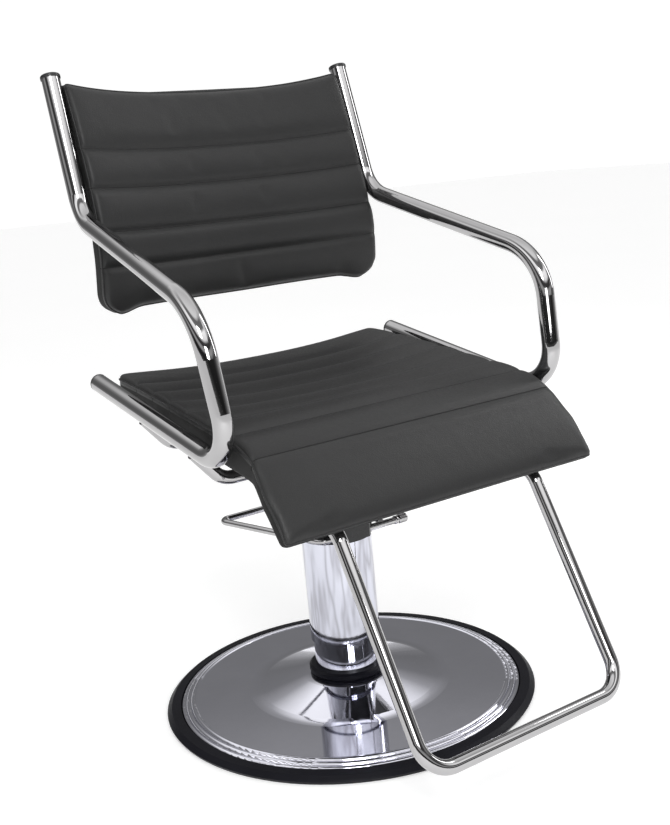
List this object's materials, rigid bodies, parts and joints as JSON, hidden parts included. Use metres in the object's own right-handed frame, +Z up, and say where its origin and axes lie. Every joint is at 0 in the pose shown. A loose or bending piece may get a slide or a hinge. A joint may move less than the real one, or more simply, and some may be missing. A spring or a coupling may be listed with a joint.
{
  "type": "styling chair",
  "caption": "Salon styling chair: channelled vinyl seat and back between bent chrome tube arms, on a round hydraulic base with foot lever and U footrest.",
  "frame": {"origin": "centre of the round base on the floor, on the swivel axis", "axes": "+Z up along the swivel axis; the sitter faces -Y; +X is the sitter's left"},
  "size_m": [0.628, 0.7681, 1.0314],
  "materials": {
    "chrome": "polished",
    "vinyl": "soft satin vinyl over foam",
    "rubber": "satin",
    "black_plastic": "satin",
    "black_metal": "satin black",
    "nylon": "matt",
    "zinc_steel": "zinc plated",
    "steel": "ground",
    "brass": "turned",
    "cast_iron": "rough",
    "board": "plywood under a black dust cover"
  },
  "bodies": {
    "base": {"base_rubber_ring": "rubber", "centre_foot": "rubber", "base_cover": "chrome", "ballast_plate": "cast_iron", "guide_cylinder": "chrome", "flange_bolts": "zinc_steel", "buffer_ring": "rubber", "barrel": "steel", "gland_nut": "brass"},
    "ram": {"ram": "steel", "piston": "steel", "piston_seal": "rubber", "thrust_bearing": "steel"},
    "chair": {"column_sleeve": "chrome", "sleeve_guide": "nylon", "pump_head": "black_metal", "head_screws": "zinc_steel", "seat_socket": "black_metal", "seat_mount_plate": "black_metal", "front_cross_member": "chrome", "rear_cross_member": "chrome", "seat_spacers": "black_plastic", "seat_bolts": "zinc_steel", "seat_board": "board", "seat_pad": "vinyl", "right_side_frame": "chrome", "left_side_frame": "chrome", "right_upright_plug": "black_plastic", "left_upright_plug": "black_plastic", "right_rail_plug": "black_plastic", "left_rail_plug": "black_plastic", "right_back_lugs": "black_metal", "left_back_lugs": "black_metal", "back_bolts": "zinc_steel", "back_shell": "black_plastic", "back_pad": "vinyl", "footrest": "chrome", "footrest_hangers": "black_metal"},
    "pump_lever": {"pump_lever": "chrome", "lever_knob": "chrome"},
    "pump_plunger": {"pump_plunger": "steel"}
  },
  "joints": [
    {"name": "lift", "type": "slide", "parent": "base", "child": "ram", "axis": [0, 0, 1], "range_m": [0, 0.15]},
    {"name": "swivel", "type": "hinge", "parent": "ram", "child": "chair", "pos_m": [0, 0, 0.3], "axis": [0, 0, 1], "continuous": true},
    {"name": "pump_lever_hinge", "type": "hinge", "parent": "chair", "child": "pump_lever", "pos_m": [0, -0.05, 0.284], "axis": [1, 0, 0], "range_deg": [-18, 0], "stiffness_Nm_per_rad": 4, "springref_deg": 34.38},
    {"name": "plunger_slide", "type": "slide", "parent": "chair", "child": "pump_plunger", "axis": [0, 0, 1], "range_m": [-0.004, 0]}
  ],
  "couplings": [
    {"joint": "plunger_slide", "follows": "pump_lever_hinge", "m_per_rad": 0.0125}
  ]
}
